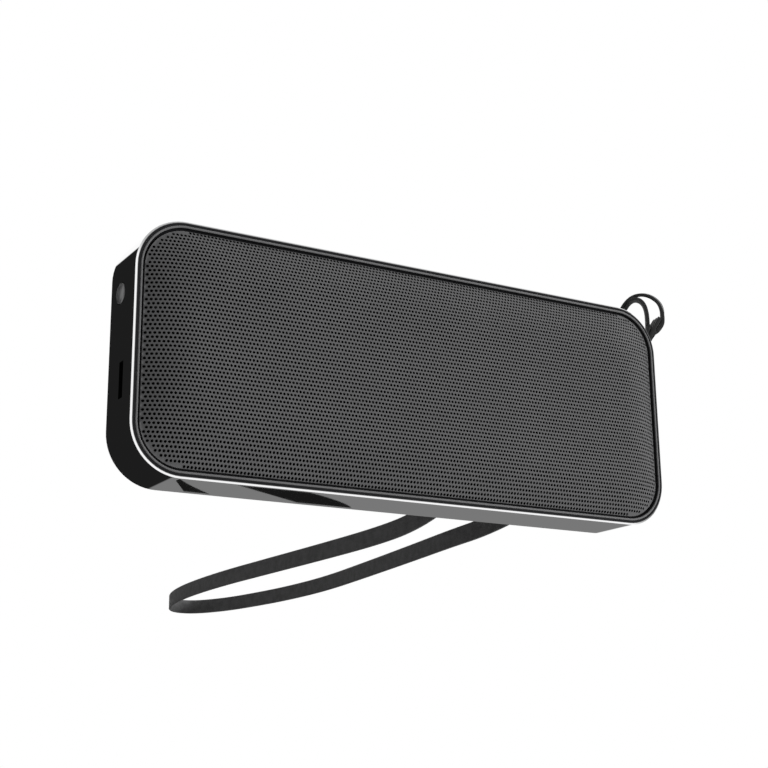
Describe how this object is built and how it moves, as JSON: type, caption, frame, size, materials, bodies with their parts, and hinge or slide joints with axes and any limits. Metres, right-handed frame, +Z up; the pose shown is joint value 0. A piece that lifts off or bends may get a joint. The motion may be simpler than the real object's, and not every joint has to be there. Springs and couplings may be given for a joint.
{
  "type": "splash-proof portable speaker",
  "caption": "Slim rounded-block speaker with a domed perforated front grille, polished side band, end button, card slot, port flap and a long flat carrying strap.",
  "frame": {"origin": "under the middle of the body, on the surface that its long flat side stands on", "axes": "+X to the right as seen from the front, the grille faces -Y, +Z up"},
  "size_m": [0.2196, 0.3219, 0.0961],
  "materials": {
    "polished_band": "mirror polished",
    "rim_black": "satin gloss",
    "grille_metal": "fine satin paint",
    "membrane_cloth": "fine black weave",
    "housing_plastic": "fine spark texture",
    "seal_rubber": "matt",
    "screw_steel": "zinc plated",
    "screw_dark": "black oxide",
    "cone_paper": "pressed fibre",
    "board_green": "solder mask",
    "tinned_can": "tinned",
    "chip_black": "moulded",
    "connector_white": "moulded",
    "button_grey": "satin",
    "flap_rubber": "soft matt",
    "battery_wrap": "foil wrap",
    "foam_grey": "open cell",
    "strap_leather": "fine grain",
    "key_rubber": "soft matt",
    "wire_red": "satin",
    "wire_black": "satin",
    "basket_steel": "black coat",
    "coil_copper": "enamelled winding",
    "spider_cloth": "resin dipped cloth",
    "magnet_nickel": "nickel plated"
  },
  "bodies": {
    "housing": {"amplifier_parts": "chip_black", "audio_jack": "chip_black", "baffle_screws": "screw_steel", "baffle_seal": "seal_rubber", "battery_cell": "battery_wrap", "battery_foam": "foam_grey", "battery_lead": "wire_red", "battery_socket": "connector_white", "board_screws": "screw_steel", "card_socket": "chip_black", "charge_socket": "tinned_can", "control_cable": "wire_black", "driver_left_basket": "basket_steel", "driver_left_magnet": "magnet_nickel", "driver_left_spider": "spider_cloth", "driver_left_surround": "seal_rubber", "driver_left_yoke": "magnet_nickel", "driver_right_basket": "basket_steel", "driver_right_magnet": "magnet_nickel", "driver_right_spider": "spider_cloth", "driver_right_surround": "seal_rubber", "driver_right_yoke": "magnet_nickel", "driver_screws": "screw_steel", "flap_pin": "screw_steel", "front_baffle": "housing_plastic", "front_bezel": "rim_black", "front_grille": "grille_metal", "key_frame": "seal_rubber", "key_switches": "chip_black", "left_board": "board_green", "main_board": "board_green", "port_cable": "wire_black", "port_frame": "housing_plastic", "power_button_seal": "seal_rubber", "power_switch": "chip_black", "radiator_frame": "housing_plastic", "radiator_surround": "seal_rubber", "radio_module": "tinned_can", "rear_cover": "housing_plastic", "rear_gasket": "seal_rubber", "rear_screws": "screw_dark", "right_board": "board_green", "side_band": "polished_band", "speaker_leads": "wire_red", "splash_membrane": "membrane_cloth", "strap_loop": "strap_leather", "strap_pin": "screw_steel", "strap_pocket": "housing_plastic", "strap_tab": "strap_leather"},
    "power_button_body": {"power_button": "button_grey"},
    "volume_down_body": {"volume_down_key": "key_rubber"},
    "play_body": {"play_key": "key_rubber"},
    "volume_up_body": {"volume_up_key": "key_rubber"},
    "port_flap_body": {"port_flap": "flap_rubber"},
    "left_cone_body": {"driver_left_cone": "cone_paper", "driver_left_voice_coil": "coil_copper"},
    "right_cone_body": {"driver_right_cone": "cone_paper", "driver_right_voice_coil": "coil_copper"},
    "radiator_body": {"radiator_plate": "cone_paper", "radiator_weight": "screw_steel"}
  },
  "joints": [
    {"name": "power_button_press", "type": "slide", "parent": "housing", "child": "power_button_body", "axis": [1, 0, 0], "range_m": [0, 0.0005], "stiffness_N_per_m": 400, "springref_m": -0.0005},
    {"name": "volume_down_press", "type": "slide", "parent": "housing", "child": "volume_down_body", "axis": [0, 0, -1], "range_m": [0, 0.0005], "stiffness_N_per_m": 400, "springref_m": -0.0005},
    {"name": "play_press", "type": "slide", "parent": "housing", "child": "play_body", "axis": [0, 0, -1], "range_m": [0, 0.0005], "stiffness_N_per_m": 400, "springref_m": -0.0005},
    {"name": "volume_up_press", "type": "slide", "parent": "housing", "child": "volume_up_body", "axis": [0, 0, -1], "range_m": [0, 0.0005], "stiffness_N_per_m": 400, "springref_m": -0.0005},
    {"name": "port_flap_hinge", "type": "hinge", "parent": "housing", "child": "port_flap_body", "pos_m": [0.09955, 0.0016, 0.0186], "axis": [0, 1, 0], "range_deg": [0, 90]},
    {"name": "left_cone_travel", "type": "slide", "parent": "housing", "child": "left_cone_body", "axis": [0, 1, 0], "range_m": [-0.0012, 0.0012], "stiffness_N_per_m": 1500},
    {"name": "right_cone_travel", "type": "slide", "parent": "housing", "child": "right_cone_body", "axis": [0, 1, 0], "range_m": [-0.0012, 0.0012], "stiffness_N_per_m": 1500},
    {"name": "radiator_travel", "type": "slide", "parent": "housing", "child": "radiator_body", "axis": [0, 1, 0], "range_m": [-0.0015, 0.0015], "stiffness_N_per_m": 900}
  ]
}
